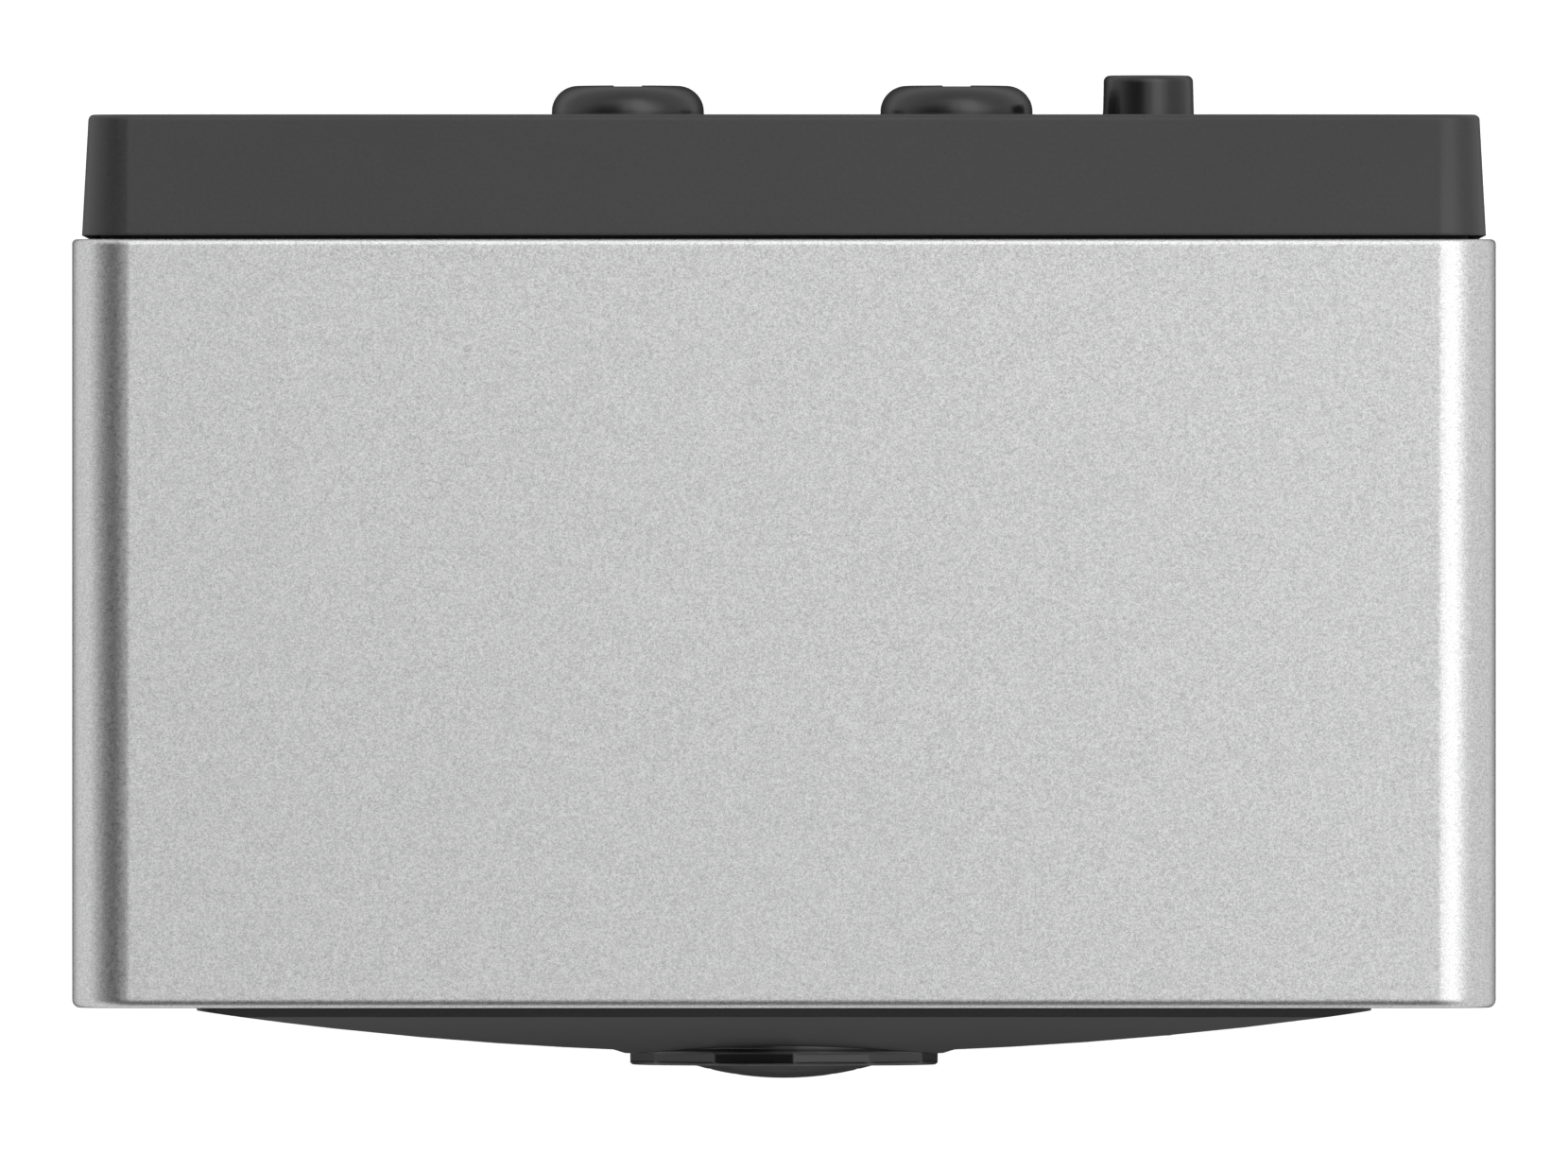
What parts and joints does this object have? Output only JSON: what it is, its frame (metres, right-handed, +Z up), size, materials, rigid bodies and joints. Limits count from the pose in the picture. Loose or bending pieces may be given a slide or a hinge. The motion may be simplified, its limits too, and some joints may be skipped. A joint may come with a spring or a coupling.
{
  "type": "microcassette dictation machine",
  "caption": "Pocket tape dictation machine: blasted metal box, black crowned front with ring dial and domed key, side-hinged tape door, drafted rear cover with knobs and push button.",
  "frame": {"origin": "centre of the footprint of the bounding box, on the surface the machine stands on", "axes": "+Z up the machine towards its plain top end, -Y towards the crowned front with the dial, +Y towards the rear cover, +X to the right seen from the front"},
  "size_m": [0.065, 0.0461, 0.118],
  "materials": {
    "silver": "fine bead-blasted and clear anodised",
    "cover_black": "fine satin moulding texture",
    "front_black": "satin moulded",
    "knob_black": "satin with soft gloss",
    "gloss_black": "polished",
    "smoke_window": "smoked clear",
    "seal_rubber": "matt",
    "steel": "brushed",
    "brass": "turned",
    "chrome_steel": "polished",
    "inner_black": "moulded",
    "drive_rubber": "ground",
    "board_green": "solder mask",
    "component_black": "moulded",
    "cassette_grey": "moulded",
    "hub_white": "moulded",
    "tape_brown": "wound tape",
    "felt": "felt",
    "grille_fabric": "woven",
    "cone_paper": "pressed paper",
    "lamp_red": "translucent",
    "cell_label": "plain sleeve"
  },
  "bodies": {
    "housing": {"back_cover": "cover_black", "battery_cells": "cell_label", "battery_contacts": "chrome_steel", "battery_tray": "inner_black", "board_components": "component_black", "board_switches": "component_black", "cassette_back_half": "cassette_grey", "cassette_front_half": "cassette_grey", "cassette_screws": "chrome_steel", "cassette_well": "inner_black", "chassis_plate": "steel", "control_board": "board_green", "cover_screws": "chrome_steel", "deck_pins": "chrome_steel", "dial_encoder": "component_black", "drive_belt": "drive_rubber", "earphone_jack": "inner_black", "flywheel_bracket": "steel", "front_panel": "front_black", "grille_cloth": "grille_fabric", "hinge_pins": "chrome_steel", "housing_shell": "silver", "inner_screws": "chrome_steel", "main_board": "board_green", "microphone_capsule": "steel", "microphone_jack": "inner_black", "motor": "steel", "power_jack": "inner_black", "pressure_pad": "felt", "rear_seal": "seal_rubber", "record_lamp": "lamp_red", "shaft_bushes": "brass", "speaker_cone": "cone_paper", "speaker_frame": "steel", "speaker_magnet": "steel", "tape_span": "tape_brown", "trim_pots": "component_black"},
    "door": {"cassette_door": "front_black", "door_window": "smoke_window"},
    "battery_door": {"battery_lid": "cover_black"},
    "dial": {"dial_ring": "gloss_black"},
    "record_key": {"record_button": "gloss_black"},
    "level": {"level_knob": "knob_black"},
    "speed": {"speed_knob": "knob_black"},
    "cue": {"cue_button": "knob_black"},
    "transport": {"transport_slider": "knob_black", "head_bridge": "steel", "record_head": "chrome_steel", "erase_head": "inner_black", "pinch_arm": "steel"},
    "pinch": {"pinch_roller": "drive_rubber"},
    "capstan": {"flywheel": "brass"},
    "motor_rotor": {"motor_pulley": "brass"},
    "idler": {"idler_wheel": "drive_rubber"},
    "supply_reel": {"supply_spindle": "inner_black", "supply_hub": "hub_white", "supply_tape_pack": "tape_brown"},
    "takeup_reel": {"takeup_spindle": "inner_black", "takeup_hub": "hub_white", "takeup_tape_pack": "tape_brown"}
  },
  "joints": [
    {"name": "door_hinge", "type": "hinge", "parent": "housing", "child": "door", "pos_m": [-0.0258, -0.01896, 0.057], "axis": [0, 0, -1], "range_deg": [0, 90]},
    {"name": "battery_door_hinge", "type": "hinge", "parent": "housing", "child": "battery_door", "pos_m": [0, 0.02011, 0.00932], "axis": [-1, 0, 0], "range_deg": [0, 90]},
    {"name": "volume_dial", "type": "hinge", "parent": "housing", "child": "dial", "pos_m": [0, -0.021, 0.098], "axis": [0, -1, 0], "range_deg": [0, 270]},
    {"name": "record_press", "type": "slide", "parent": "housing", "child": "record_key", "axis": [0, 1, 0], "range_m": [0, 0.0005], "stiffness_N_per_m": 800},
    {"name": "level_turn", "type": "hinge", "parent": "housing", "child": "level", "pos_m": [-0.00718, 0.022, 0.1], "axis": [0, 1, 0], "range_deg": [-135, 135]},
    {"name": "speed_turn", "type": "hinge", "parent": "housing", "child": "speed", "pos_m": [0.00793, 0.022, 0.1], "axis": [0, 1, 0], "range_deg": [-135, 135]},
    {"name": "cue_press", "type": "slide", "parent": "housing", "child": "cue", "axis": [0, -1, 0], "range_m": [0, 0.0012], "stiffness_N_per_m": 500},
    {"name": "transport_slide", "type": "slide", "parent": "housing", "child": "transport", "axis": [0, 0, -1], "range_m": [0, 0.0032]},
    {"name": "pinch_spin", "type": "hinge", "parent": "transport", "child": "pinch", "pos_m": [0.009, -0.01325, 0.0786], "axis": [0, 1, 0], "continuous": true},
    {"name": "flywheel_spin", "type": "hinge", "parent": "housing", "child": "capstan", "pos_m": [0.009, 0.0017, 0.0709], "axis": [0, 1, 0], "continuous": true},
    {"name": "motor_spin", "type": "hinge", "parent": "housing", "child": "motor_rotor", "pos_m": [-0.017, 0.0017, 0.072], "axis": [0, 1, 0], "continuous": true},
    {"name": "idler_spin", "type": "hinge", "parent": "housing", "child": "idler", "pos_m": [0.00366, -0.006, 0.06549], "axis": [0, 1, 0], "continuous": true},
    {"name": "supply_spin", "type": "hinge", "parent": "housing", "child": "supply_reel", "pos_m": [-0.0115, -0.006, 0.0545], "axis": [0, 1, 0], "continuous": true},
    {"name": "takeup_spin", "type": "hinge", "parent": "housing", "child": "takeup_reel", "pos_m": [0.0115, -0.006, 0.0545], "axis": [0, 1, 0], "continuous": true}
  ],
  "couplings": [
    {"joint": "motor_spin", "follows": "flywheel_spin", "ratio": 5.5},
    {"joint": "idler_spin", "follows": "flywheel_spin", "ratio": -0.5},
    {"joint": "takeup_spin", "follows": "flywheel_spin", "ratio": 0.1143},
    {"joint": "supply_spin", "follows": "flywheel_spin", "ratio": 0.0762}
  ]
}
